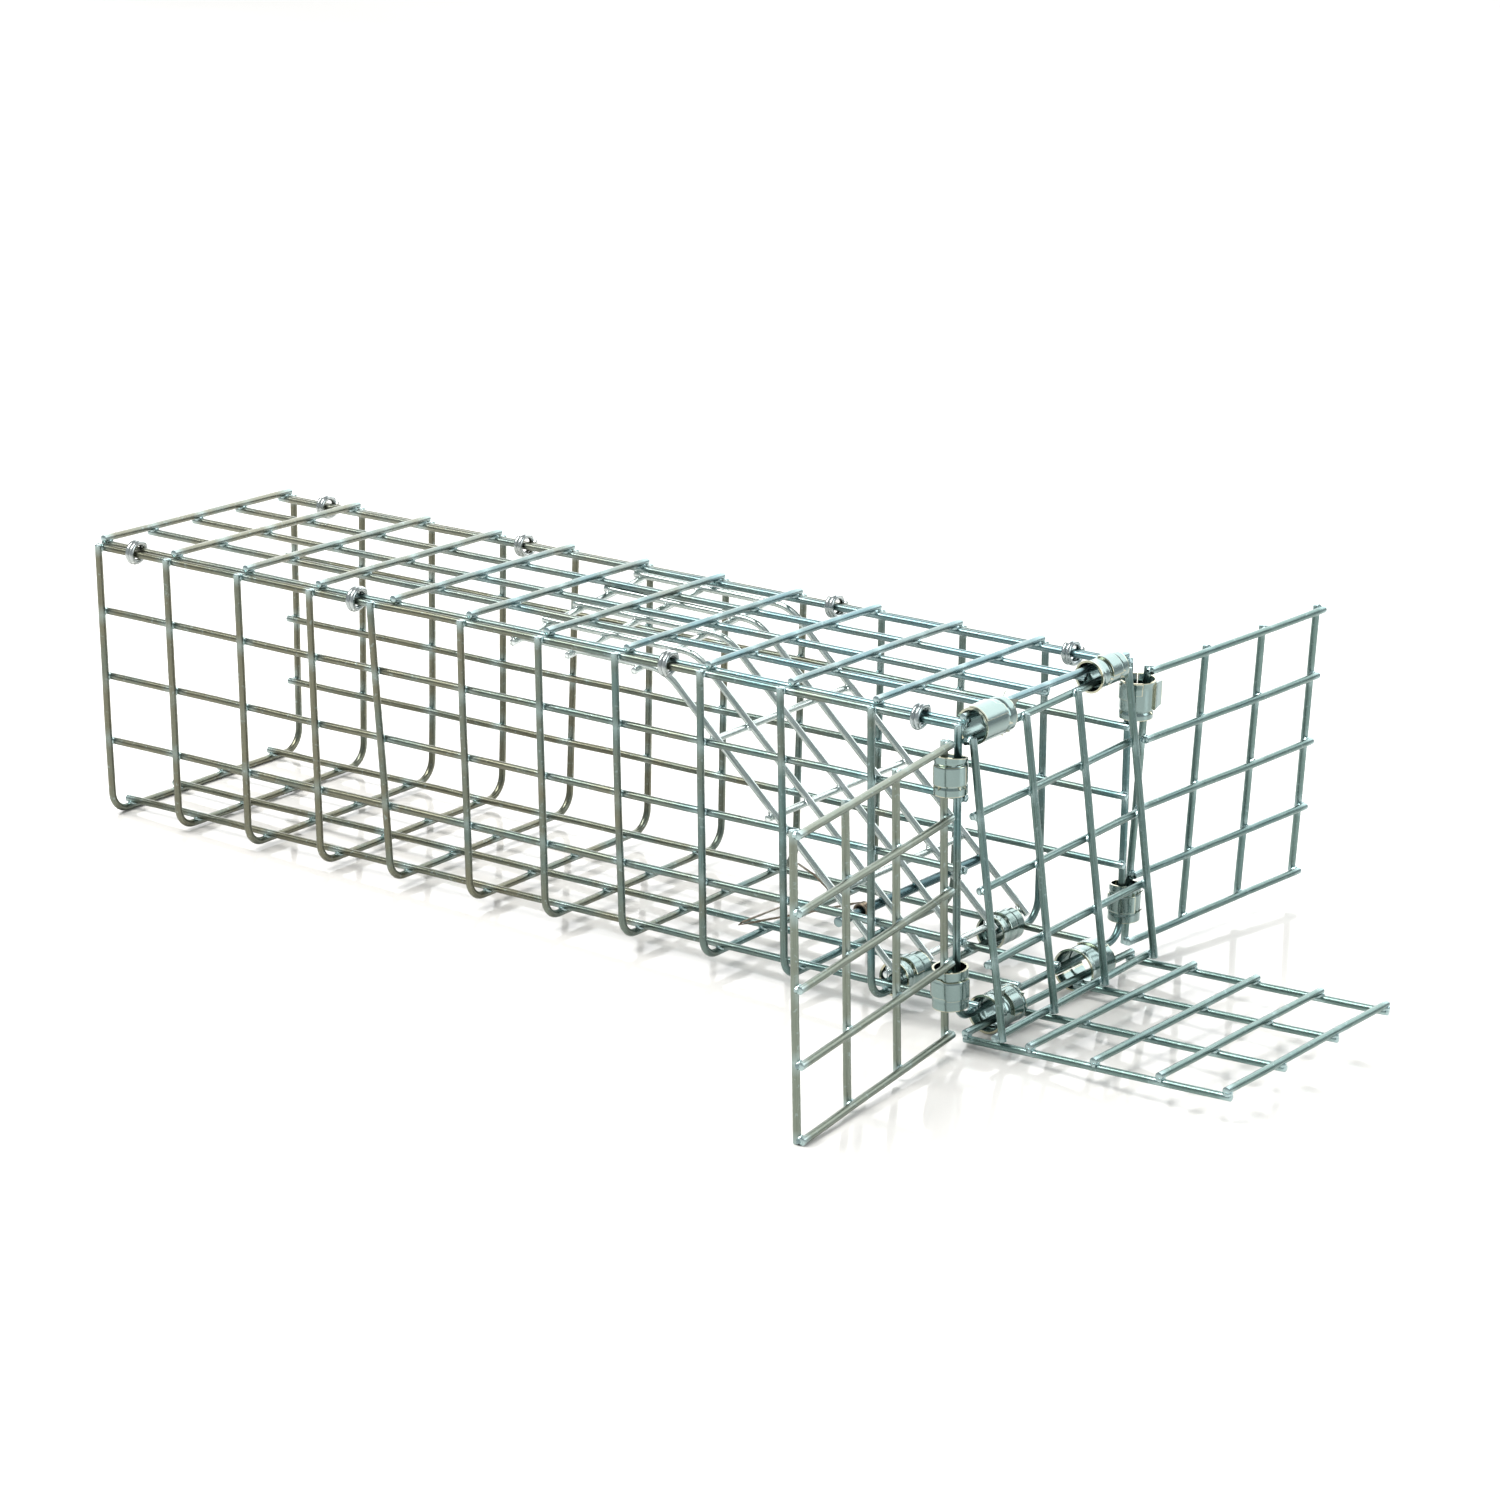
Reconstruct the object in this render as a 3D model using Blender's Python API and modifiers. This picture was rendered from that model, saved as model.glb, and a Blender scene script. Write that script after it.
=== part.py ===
"""Live catch tunnel trap: welded wire cage, clipped flaps and a sprung one-way ramp.

Frame: X runs along the trap from the open rear end to the mouth, Y across, Z up.
Everything is drawn with the rear U wire at x = 0, the near side of the lid mesh at
y = 0 and the top edge wires of the sides at z = 0, then the whole assembly hangs
under one root empty that puts the middle of its footprint on the origin.
"""
import bpy
import bmesh
from math import cos, pi, radians, sin
from mathutils import Matrix, Vector

MM = 0.001
MERGE = 0.0001           # millimetres

# ---- mesh and wire ------------------------------------------------------------
PITCH_LONG = 25.4        # long side of a mesh cell
PITCH_SHORT = 19.05      # short side of a mesh cell
WIRE_R = 1.02            # 14 gauge wire of cage, lid and flaps
SIDES = 8                # facets round a wire
WELD = 0.27              # how far two crossing wires sink into each other
SINK = 2 * WIRE_R - WELD  # distance between the centres of two crossing wires

# ---- cage -----------------------------------------------------------------------
CELLS_LONG = 11                       # cells from rear to mouth
LENGTH = CELLS_LONG * PITCH_LONG
LID_WIDTH = 4 * PITCH_SHORT           # outer lengthwise wires of the lid
SIDE_GAP = 2.36                       # lid edge wire to the top wire of a side
LID_Z = (-0.3, -1.3)                  # lid lengthwise wires at its near and far edge
SIDE_TOP = (-0.8, -1.7)               # top lengthwise wires of the near and far side
U_TOP = (0.2, -0.7)                   # upper ends of the U wires
FLOOR_Z = -4 * PITCH_SHORT            # centre of the floor lengthwise wires
NEAR_LEAN = 4.6                       # how far the near side leans in at the floor
FAR_LEAN = -2.4                       # the far side leans out: the section is askew
CORNER_R = 6.0                        # bend of a U wire at the floor
BEND_STEPS = 4                        # straight steps in a quarter bend
FLOOR_WIRES = (8.6, 28.6, 48.4, 70.8)  # lengthwise wires of the floor, from the near side
STUB = 1.7                            # lengthwise wires past the end U wires
MOUTH_STUB = 0.6                      # lid and top side wires past the mouth
# how far each U wire, from the rear, was welded off its place along X
NEAR_TOP_SET = (0, -1.0, -1.2, -1.5, -6.0, -1.3, -1.2, -2.2, -1.0, -1.8, 0, 0)
FLOOR_SET = (0.0, -1.0, -1.2, -1.1, -2.4, -0.9, -1.0, -1.4, -1.0, -1.2, 0, 0)
LID_STUBS = (2.0, 2.6)                # cross wires of the lid past its edge wires

# ---- flaps ------------------------------------------------------------------------
FLAP_STUB = 1.0                       # wires past the last wire they cross
HINGE_STUB = 0.8                      # wires past the hinge wire
# each flap: a point on its hinge wire, the run of that wire, and the way out to the edge
NEAR_FLAP = ((278.2, -8.4, -4.0), (0.018, 0.045, -1.0), (0.085, -1.0, -0.042))
FAR_FLAP = ((282.5, 84.6, -4.2), (-0.06, 0.042, -1.0), (0.128, 1.0, 0.04))
TOP_FLAP = ((281.3, -2.6, -3.9), (0.0, 1.0, 0.02), (0.146, 0.03, -1.0))
FLOOR_FLAP = ((282.3, 1.2, -80.75), (0.045, 1.0, 0.018), (1.0, -0.045, 0.045))
FRONT, BELOW = (1.0, 0.0, 0.0), (0.0, 0.0, -1.0)   # side on which the outward wires lie

# ---- sheet clips and rings ----------------------------------------------------------
CLIP_T = 0.6                          # sheet thickness
FLOOR_CLIP_LEN = 12.0
SIDE_CLIP_LEN = 10.4
TOP_CLIP_LEN = 14.0
CLIP_WRAP = radians(344)              # how far round the sheet is rolled
CLIP_PLAY = 0.38                      # clear space round the wires inside a clip
FLOOR_PLAY = 1.0                      # the floor clips are opened wider
RING_WIRE_R = 0.75
RING_A = 3.25                         # half width of a ring, across the two wires
RING_B = 2.7                          # half height of a ring
RING_TURNS = 1.2
RING_PITCH = 1.75
NEAR_RINGS = (0.45, 3.5, 7.5, 10.5)   # in cells from the rear
FAR_RINGS = (0.6, 3.4, 7.5, 10.4)

# ---- ramp -------------------------------------------------------------------------
RAMP_R = 0.82                         # thinner wire of the ramp mesh
RAMP_SINK = 2 * RAMP_R - 0.25
RAMP_HINGE = (254.0, -73.3)           # x, z of the ramp's hinge wire
RAMP_Y = (9.6, 73.1)                  # outer lengthwise wires
RAMP_WIRES = 5
RAMP_BEND = ((182.0, -6.1), (178.0, -2.7))     # near and far bend, x and z
RAMP_LIP = ((132.6, -5.2), (127.0, -2.1))      # near and far end of the lip
RAMP_STUB = 2.2
ROD_R = 1.3                           # stiffening rod that carries the spring
ROD_AT = 18.0                         # along the slope from the hinge wire
ROD_Y = (5.4, 75.0)
SPRING_Y = 17.0
SPRING_WIRE_R = 0.3
SPRING_COIL_R = 1.98
SPRING_TURNS = 4
SPRING_TIP = (200.5, 19.6, -74.35)    # where the leg rests in the floor mesh


def lerp(a, b, t):
    return a + (b - a) * t


# ---- scene -----------------------------------------------------------------------------
def clear_scene():
    for ob in list(bpy.data.objects):
        bpy.data.objects.remove(ob, do_unlink=True)


def collection(name):
    col = bpy.data.collections.new(name)
    bpy.context.scene.collection.children.link(col)
    return col


def material(name, colour, roughness, metallic=1.0):
    mat = bpy.data.materials.new(name)
    mat.use_nodes = True
    shader = mat.node_tree.nodes["Principled BSDF"]
    shader.inputs["Base Color"].default_value = (*colour, 1.0)
    shader.inputs["Roughness"].default_value = roughness
    shader.inputs["Metallic"].default_value = metallic
    mat.diffuse_color = (*colour, 1.0)
    return mat


# ---- wires --------------------------------------------------------------------------------
def add_rod(bm, start, end, radius):
    """A straight facetted wire with a flat facet squarely on each of its four sides."""
    start, end = Vector(start), Vector(end)
    axis = (end - start).normalized()
    up = Vector((0, 0, 1)) if abs(axis.z) < 0.9 else Vector((0, 1, 0))
    side = up.cross(axis).normalized()
    up = axis.cross(side)
    turn = Matrix((side, up, axis)).transposed().to_4x4()
    place = Matrix.Translation((start + end) / 2) @ turn @ Matrix.Rotation(pi / SIDES, 4, "Z")
    bmesh.ops.create_cone(bm, cap_ends=True, segments=SIDES, radius1=radius, radius2=radius,
                          depth=(end - start).length, matrix=place)


def bent_wire_mesh(paths, radius):
    """Bent wires: a bevelled curve with filled caps, as a mesh with the caps welded on."""
    curve = bpy.data.curves.new("bent_wires", "CURVE")
    curve.dimensions = "3D"
    curve.bevel_depth = radius
    curve.bevel_resolution = SIDES // 2 - 2
    curve.use_fill_caps = True
    for path in paths:
        spline = curve.splines.new("POLY")
        spline.points.add(len(path) - 1)
        for point, place in zip(spline.points, path):
            point.co = (*place, 1.0)
            point.tilt = pi / SIDES
    guide = bpy.data.objects.new("bent_wires", curve)
    bpy.context.scene.collection.objects.link(guide)
    graph = bpy.context.evaluated_depsgraph_get()
    mesh = bpy.data.meshes.new_from_object(guide.evaluated_get(graph))
    bm = bmesh.new()
    bm.from_mesh(mesh)
    bmesh.ops.remove_doubles(bm, verts=bm.verts, dist=MERGE)
    bpy.data.objects.remove(guide, do_unlink=True)
    bpy.data.meshes.remove(mesh)
    return bm


def straight_wire_mesh(ends, radius):
    bm = bmesh.new()
    for start, end in ends:
        add_rod(bm, start, end, radius)
    return bm


def to_object(bm, name, col, mat):
    """Millimetre bmesh to a metre object, outward normals, own material."""
    bmesh.ops.recalc_face_normals(bm, faces=bm.faces)
    bmesh.ops.scale(bm, vec=(MM, MM, MM), verts=bm.verts)
    mesh = bpy.data.meshes.new(name)
    bm.to_mesh(mesh)
    bm.free()
    mesh.materials.append(mat)
    mesh.shade_smooth()
    ob = bpy.data.objects.new(name, mesh)
    col.objects.link(ob)
    return ob


def weld(name, base, others, col, cutters, mat):
    """One welded body: the wires of `base` joined to each set of crossing wires."""
    ob = to_object(base, name, col, mat)
    for i, bm in enumerate(others):
        tool = to_object(bm, f"{name}_crossing_{i}", cutters, mat)
        tool.parent = ob
        tool.hide_render = True
        tool.display_type = "WIRE"
        mod = ob.modifiers.new(f"weld_{i}", "BOOLEAN")
        mod.operation = "UNION"
        mod.solver = "EXACT"
        mod.object = tool
    return ob


# ---- cage body and lid ----------------------------------------------------------------------
def near_y(z):
    """Centre of the near side's lengthwise wires at height z."""
    return -SIDE_GAP + NEAR_LEAN * z / FLOOR_Z


def far_y(z):
    return LID_WIDTH + SIDE_GAP - FAR_LEAN * z / FLOOR_Z


def u_wire(i):
    """U wire i: down the near side, across under the floor, up the far side."""
    x = i * PITCH_LONG
    bottom = FLOOR_Z - SINK
    near_top = Vector((x + NEAR_TOP_SET[i], near_y(SIDE_TOP[0]) - SINK, U_TOP[0]))
    far_top = Vector((x, far_y(SIDE_TOP[1]) + SINK, U_TOP[1]))
    ny, fy = near_y(FLOOR_Z) - SINK, far_y(FLOOR_Z) + SINK
    x += FLOOR_SET[i]
    near_bend, far_bend = [], []
    for step in range(BEND_STEPS + 1):
        a = pi / 2 * step / BEND_STEPS
        out, drop = CORNER_R * (1 - cos(a)), CORNER_R * (1 - sin(a))
        near_bend.append(Vector((x, ny + out, bottom + drop)))
        far_bend.append(Vector((x, fy - out, bottom + drop)))
    return [near_top] + near_bend + far_bend[::-1] + [far_top]


def cage_body(col, cutters, mat, root):
    ends = []
    for side_y, top in ((near_y, SIDE_TOP[0]), (far_y, SIDE_TOP[1])):
        for z in (top, -PITCH_SHORT, -2 * PITCH_SHORT, -3 * PITCH_SHORT):
            stub = MOUTH_STUB if z == top else STUB
            ends.append(((-STUB, side_y(z), z), (LENGTH + stub, side_y(z), z)))
    for y in FLOOR_WIRES:
        ends.append(((-STUB, y, FLOOR_Z), (LENGTH + STUB, y, FLOOR_Z)))
    hoops = bent_wire_mesh([u_wire(i) for i in range(CELLS_LONG + 1)], WIRE_R)
    ob = weld("cage_body", hoops, [straight_wire_mesh(ends, WIRE_R)], col, cutters, mat)
    ob.parent = root
    return ob


def lid_z(y):
    """Centre of the lid's lengthwise wires at width y; the lid hangs lower at its far edge."""
    return lerp(*LID_Z, y / LID_WIDTH)


def lid_panel(col, cutters, mat, root):
    longs, crosses = [], []
    for k in range(5):
        y = k * PITCH_SHORT
        longs.append(((-STUB, y, lid_z(y)), (LENGTH + MOUTH_STUB, y, lid_z(y))))
    near, far = -LID_STUBS[0], LID_WIDTH + LID_STUBS[1]
    for i in range(CELLS_LONG + 1):
        x = i * PITCH_LONG
        crosses.append(((x, near, lid_z(near) + SINK), (x, far, lid_z(far) + SINK)))
    ob = weld("lid_panel", straight_wire_mesh(longs, WIRE_R),
              [straight_wire_mesh(crosses, WIRE_R)], col, cutters, mat)
    ob.parent = root
    return ob


# ---- rings and clips -----------------------------------------------------------------------
def ring(name, x, y, z, tilt, col, mat, root):
    """A squeezed wire ring, a little over one turn, round two wires that run along X."""
    pts = []
    steps = 17
    for i in range(steps + 1):
        t = i / steps
        a = radians(-55) + RING_TURNS * 2 * pi * t
        pts.append((RING_PITCH * (t - 0.5) * RING_TURNS, RING_A * cos(a), RING_B * sin(a)))
    ob = to_object(bent_wire_mesh([pts], RING_WIRE_R), name, col, mat)
    ob.location = Vector((x, y, z)) * MM
    ob.rotation_euler = (tilt, 0, 0)
    ob.parent = root
    return ob


def clip(name, a, b, along, length, start, play, col, mat, root):
    """Sheet clip rolled round the two points a and b, its axis along `along`.

    The sheet begins `start` radians round from b and keeps `play` clear of the wires.
    """
    a, b, along = Vector(a), Vector(b), Vector(along).normalized()
    across = (b - a) - along * (b - a).dot(along)
    inner = (across.length / 2 + WIRE_R + play) * MM
    across.normalize()
    turn = Matrix((across, along.cross(across), along)).transposed().to_4x4()
    bm = bmesh.new()
    top, low = [bm.verts.new((inner, 0, side * length / 2 * MM)) for side in (1, -1)]
    bm.edges.new((top, low))
    mesh = bpy.data.meshes.new(name)
    bm.to_mesh(mesh)
    bm.free()
    mesh.materials.append(mat)
    ob = bpy.data.objects.new(name, mesh)
    col.objects.link(ob)
    ob.matrix_basis = (Matrix.Translation((a + b) / 2 * MM) @ turn
                       @ Matrix.Rotation(start, 4, "Z"))
    roll = ob.modifiers.new("roll", "SCREW")
    roll.angle = CLIP_WRAP
    roll.steps = roll.render_steps = 24
    sheet = ob.modifiers.new("sheet", "SOLIDIFY")
    sheet.thickness = CLIP_T * MM
    sheet.offset = 1.0
    ob.parent = root
    return ob


def ring_set(col, mat, root):
    for side, cells, y, lid_edge, side_top in (
            ("near", NEAR_RINGS, -SIDE_GAP / 2, LID_Z[0], SIDE_TOP[0]),
            ("far", FAR_RINGS, LID_WIDTH + SIDE_GAP / 2, LID_Z[1], SIDE_TOP[1])):
        tilt = (lid_edge - side_top) / SIDE_GAP
        if side == "far":
            tilt = pi - tilt
        for k, cell in enumerate(cells):
            ring(f"{side}_ring_{k + 1}", cell * PITCH_LONG, y, (lid_edge + side_top) / 2,
                 tilt, col, mat, root)


# ---- flaps --------------------------------------------------------------------------------
def flap(name, spec, face, grid, col, cutters, mat, root):
    """Mesh flap with its origin on its hinge wire.

    grid: number and spacing of the wires that run outwards, then of the wires
    parallel to the hinge. The outward wires lie on the `face` side.
    """
    pivot, along, out = [Vector(a) for a in spec]
    along.normalize()
    out = (out - along * out.dot(along)).normalized()
    across = along.cross(out)
    if across.dot(Vector(face)) < 0:
        across = -across
    out_count, out_step, hinge_count, hinge_step = grid
    width, reach = (out_count - 1) * out_step, (hinge_count - 1) * hinge_step
    hinge_wires = []
    for k in range(hinge_count):
        o = out * (k * hinge_step)
        hinge_wires.append((o - along * FLAP_STUB, o + along * (width + FLAP_STUB)))
    out_wires = []
    for k in range(out_count):
        o = along * (k * out_step) + across * SINK
        out_wires.append((o - out * HINGE_STUB, o + out * (reach + FLAP_STUB)))
    ob = weld(name, straight_wire_mesh(hinge_wires, WIRE_R),
              [straight_wire_mesh(out_wires, WIRE_R)], col, cutters, mat)
    ob.location = pivot * MM
    ob.parent = root
    return ob


SIDE_GRID = (5, PITCH_SHORT, 4, PITCH_LONG)
CROSS_GRID = (4, PITCH_LONG, 5, PITCH_SHORT)


def at_height(spec, z):
    """Point of a side flap's hinge wire at height z."""
    pivot, run = Vector(spec[0]), Vector(spec[1])
    return pivot + run * ((z - pivot.z) / run.z)


def at_width(spec, y):
    """Point of the top or floor flap's hinge wire at width y."""
    pivot, run = Vector(spec[0]), Vector(spec[1])
    return pivot + run * ((y - pivot.y) / run.y)


def flaps_and_clips(col, cutters, mat, clip_mat, root):
    for name, spec, face, grid in (("near_flap", NEAR_FLAP, FRONT, SIDE_GRID),
                                   ("far_flap", FAR_FLAP, FRONT, SIDE_GRID),
                                   ("top_flap", TOP_FLAP, FRONT, CROSS_GRID),
                                   ("floor_flap", FLOOR_FLAP, BELOW, CROSS_GRID)):
        flap(name, spec, face, grid, col, cutters, mat, root)
    # two clips to a flap, each clear of the wires that cross the two it holds
    for tag, spec, uy, sign, start in (("near", NEAR_FLAP, near_y, -1, 0.9),
                                       ("far", FAR_FLAP, far_y, 1, 5.2)):
        for pos, z in (("upper", -11.8), ("lower", -68.0)):
            frame = [Vector((LENGTH, uy(h) + sign * SINK, h)) for h in (z, z - 1)]
            wire = [at_height(spec, h) for h in (z, z - 1)]
            along = (frame[1] - frame[0]) + (wire[1] - wire[0])
            clip(f"{tag}_clip_{pos}", frame[0], wire[0], along, SIDE_CLIP_LEN, start,
                 CLIP_PLAY, col, clip_mat, root)
    for tag, spec, spots, length, start, play in (
            ("top", TOP_FLAP, (8.2, 65.1), TOP_CLIP_LEN, 2.6, CLIP_PLAY),
            ("floor", FLOOR_FLAP, (17.8, 60.2), FLOOR_CLIP_LEN, 2.4, FLOOR_PLAY)):
        for pos, y in zip(("near", "far"), spots):
            z = lid_z(y) + SINK if tag == "top" else FLOOR_Z - SINK
            along = Vector((0, 1, 0)) + Vector(spec[1])
            clip(f"{tag}_clip_{pos}", (LENGTH, y, z), at_width(spec, y), along, length, start,
                 play, col, clip_mat, root)


# ---- ramp, rod and spring ------------------------------------------------------------------
def ramp_lines():
    """Height profile of the lengthwise ramp wires at the near (0) and far (1) edge."""
    hx, hz = RAMP_HINGE
    lines = []
    for (bx, bz), (lx, lz) in zip(RAMP_BEND, RAMP_LIP):
        slope = Vector((bx - hx, 0, bz - hz)).normalized()
        foot = Vector((hx, 0, hz)) + Vector((-slope.z, 0, slope.x)) * -RAMP_SINK
        start = foot - slope * RAMP_STUB
        lines.append((start, foot, Vector((bx, 0, bz)), Vector((lx, 0, lz))))
    return lines


def ramp_path(k):
    """Path of lengthwise wire k, rounded at the bend."""
    near, far = ramp_lines()
    t = k / (RAMP_WIRES - 1)
    y = lerp(RAMP_Y[0], RAMP_Y[1], t)
    start, _, bend, lip = [lerp(a, b, t) for a, b in zip(near, far)]
    up, back = (start - bend).normalized(), (lip - bend).normalized()
    pts = [start]
    p0, p2 = bend + up * 5.0, bend + back * 5.0
    for i in range(5):
        s = i / 4
        pts.append(p0 * (1 - s) ** 2 + bend * 2 * s * (1 - s) + p2 * s ** 2)
    pts.append(lip)
    return [(p.x, y, p.z) for p in pts]


def ramp_crosses():
    """Cross wires of the ramp: at the foot, three up the slope, three under the lip."""
    near, far = ramp_lines()
    hx, hz = RAMP_HINGE
    wires = [((hx, RAMP_Y[0] - RAMP_STUB, hz), (hx, RAMP_Y[1] + RAMP_STUB, hz))]
    slope = [(PITCH_LONG * i, 1, 2) for i in (1, 2, 3)]
    lip = [(back, 2, 3) for back in (8.5, 8.5 + 0.84 * PITCH_LONG, 8.5 + 1.6 * PITCH_LONG)]
    for reach, a, b in slope + lip:
        ends = []
        for line, y in ((near, RAMP_Y[0]), (far, RAMP_Y[1])):
            run = line[b] - line[a]
            d = run.normalized()
            p = line[a] + d * min(reach, run.length - 1.6)
            p += Vector((-abs(d.z), 0, -abs(d.x))) * RAMP_SINK
            ends.append(Vector((p.x, y, p.z)))
        stub = (ends[1] - ends[0]).normalized() * RAMP_STUB
        wires.append((ends[0] - stub, ends[1] + stub))
    return wires


def rod_centre():
    """The rod lies under the lengthwise wires, a little below the lowest cross wire."""
    near, far = ramp_lines()
    foot, bend = lerp(near[1], far[1], 0.5), lerp(near[2], far[2], 0.5)
    up = (bend - foot).normalized()
    return foot + up * ROD_AT + Vector((-up.z, 0, -abs(up.x))) * (RAMP_R + ROD_R - 0.3), up


def shifted(points, origin):
    return [tuple(Vector(p) - origin) for p in points]


def ramp_and_spring(col, cutters, mat, rod_mat, clip_mat, root):
    pivot = Vector((RAMP_HINGE[0], 0, RAMP_HINGE[1]))
    longs = [shifted(ramp_path(k), pivot) for k in range(RAMP_WIRES)]
    crosses = [shifted(w, pivot) for w in ramp_crosses()]
    rod, up = rod_centre()
    rods = [shifted([(rod.x, ROD_Y[0], rod.z), (rod.x, ROD_Y[1], rod.z)], pivot)]
    ob = weld("ramp_door", bent_wire_mesh(longs, RAMP_R),
              [straight_wire_mesh(crosses, RAMP_R), straight_wire_mesh(rods, ROD_R)],
              col, cutters, mat)
    ob.location = pivot * MM
    ob.parent = root

    # coil with its arm up under the near wire of the ramp
    under = Vector((-up.z, 0, -abs(up.x)))
    per, turns = 10, SPRING_TURNS
    count = int(turns * per)
    step = 2 * SPRING_WIRE_R + 0.1
    coil = []
    for i in range(count + 1):
        a = 2 * pi * i / per
        y = SPRING_Y + (0.5 - i / count) * turns * step
        coil.append(rod + (under * cos(a) + up * sin(a)) * SPRING_COIL_R
                    + Vector((0, y - rod.y, 0)))
    arm_y = SPRING_Y - 0.5 * turns * step

    def at(s, y, n):
        p = rod + up * (s - ROD_AT) + under * (n - (RAMP_R + ROD_R - 0.3))
        return Vector((p.x, y, p.z))
    coil += [at(22.0, arm_y - 1.3, 3.6), at(32.2, 10.0, 2.1), at(36.5, 6.6, 1.6)]
    ob = to_object(bent_wire_mesh([shifted(coil, Vector((rod.x, 0, rod.z)))],
                                  SPRING_WIRE_R), "spring_coil", col, rod_mat)
    ob.location = (rod.x * MM, 0, rod.z * MM)
    ob.parent = root

    # leg down to the floor mesh, bent back on itself
    tip = Vector(SPRING_TIP)
    leg_y = SPRING_Y + 0.5 * turns * step + SPRING_WIRE_R + 0.6
    hub = Vector((rod.x, leg_y, rod.z))
    reach = (tip - hub).normalized()
    down = Vector((reach.z, 0, -reach.x)).normalized()
    loop = []
    for i in range(9):
        a = 2 * pi * i / 10
        loop.append(hub + (down * cos(a) + Vector((reach.x, 0, reach.z)) * sin(a))
                    * SPRING_COIL_R)
    loop = loop[::-1]
    end = tip + Vector((4.6, 12.0, 2.6))
    leg = loop + [lerp(loop[-1], tip, 0.5), tip, tip + Vector((0.9, 0.3, 0.9)), end]
    ob = to_object(bent_wire_mesh([shifted(leg, Vector((rod.x, 0, rod.z)))],
                                  SPRING_WIRE_R), "spring_leg", col, rod_mat)
    ob.location = (rod.x * MM, 0, rod.z * MM)
    ob.parent = root

    # hinge clips round the ramp's foot wire and the U wire below it
    u_x, u_z = 10 * PITCH_LONG, FLOOR_Z - SINK
    for pos, y, length in (("near", 17.5, 12.0), ("far", 63.95, 10.7)):
        clip(f"ramp_clip_{pos}", (u_x, y, u_z), (RAMP_HINGE[0], y, RAMP_HINGE[1]), (0, 1, 0),
             length, 3.4, CLIP_PLAY, col, clip_mat, root)


def centre_on_origin(root, col):
    """Put the middle of the footprint, at the lowest point, on the origin."""
    bpy.context.view_layer.update()
    graph = bpy.context.evaluated_depsgraph_get()
    points = []
    for ob in col.objects:
        if ob.type == "MESH":
            shape = ob.evaluated_get(graph)
            points += [ob.matrix_world @ v.co for v in shape.data.vertices]
    low = [min(p[i] for p in points) for i in range(3)]
    high = [max(p[i] for p in points) for i in range(3)]
    root.location = (-(low[0] + high[0]) / 2, -(low[1] + high[1]) / 2, -low[2])


def build():
    clear_scene()
    col = collection("live_catch_trap")
    cutters = collection("crossing_wires")
    zinc = material("zinc_wire", (0.56, 0.6, 0.58), 0.32)
    flap_zinc = material("zinc_flap_wire", (0.5, 0.53, 0.5), 0.34)
    ramp_zinc = material("zinc_ramp_wire", (0.66, 0.71, 0.7), 0.26)
    ring_zinc = material("ring_wire", (0.7, 0.72, 0.7), 0.22)
    clip_zinc = material("clip_sheet", (0.6, 0.64, 0.6), 0.3)
    spring_steel = material("spring_wire", (0.34, 0.3, 0.26), 0.35)
    root = bpy.data.objects.new("trap_root", None)
    col.objects.link(root)
    cage_body(col, cutters, zinc, root)
    lid_panel(col, cutters, zinc, root)
    ring_set(col, ring_zinc, root)
    flaps_and_clips(col, cutters, flap_zinc, clip_zinc, root)
    ramp_and_spring(col, cutters, ramp_zinc, spring_steel, clip_zinc, root)
    centre_on_origin(root, col)


build()
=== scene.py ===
"""Looks of the live catch trap: round drawn wire with weld nuggets, lapped rings,
rolled sheet clips and the sprung ramp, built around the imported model.

Sizes are in millimetres in the trap's own frame: X from the rear U wire to the mouth,
Y across from the near edge of the lid mesh, Z up from the nominal height of the sides'
top wires.
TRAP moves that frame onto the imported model, whose boxes give its place.
"""
import bpy
from math import atan2, cos, pi, radians, sin, tau
from mathutils import Matrix, Vector, kdtree, noise


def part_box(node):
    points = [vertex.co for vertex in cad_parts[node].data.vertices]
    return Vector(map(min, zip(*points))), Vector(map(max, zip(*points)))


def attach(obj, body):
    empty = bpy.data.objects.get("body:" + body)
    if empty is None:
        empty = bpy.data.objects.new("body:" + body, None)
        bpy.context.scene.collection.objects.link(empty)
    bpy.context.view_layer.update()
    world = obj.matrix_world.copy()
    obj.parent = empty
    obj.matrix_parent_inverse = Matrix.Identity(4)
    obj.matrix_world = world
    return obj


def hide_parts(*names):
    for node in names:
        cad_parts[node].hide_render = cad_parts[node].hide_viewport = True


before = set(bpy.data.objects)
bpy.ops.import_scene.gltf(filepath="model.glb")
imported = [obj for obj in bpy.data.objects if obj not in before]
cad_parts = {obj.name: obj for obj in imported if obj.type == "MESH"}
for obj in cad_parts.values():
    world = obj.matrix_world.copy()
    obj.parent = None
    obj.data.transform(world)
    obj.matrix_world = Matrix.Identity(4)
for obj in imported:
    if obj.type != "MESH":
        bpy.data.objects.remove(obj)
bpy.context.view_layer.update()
MM = 0.001

# ---- sizes, in mm --------------------------------------------------------------------
PITCH_LONG = 25.4                     # mesh cell along the trap
PITCH_SHORT = 19.05                   # mesh cell across it
WIRE_R = 1.0
CAD_WIRE_R = 1.02                     # to the corners of the model's eight-sided wire
WELD = 0.27                           # how far two crossing wires sink into each other
SINK = 2 * CAD_WIRE_R - WELD          # between the centres of two welded wires
CELLS_LONG = 11
LENGTH = CELLS_LONG * PITCH_LONG
LID_WIDTH = 4 * PITCH_SHORT
SIDE_GAP = 2.36                       # lid edge wire to the top wire of a side
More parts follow.
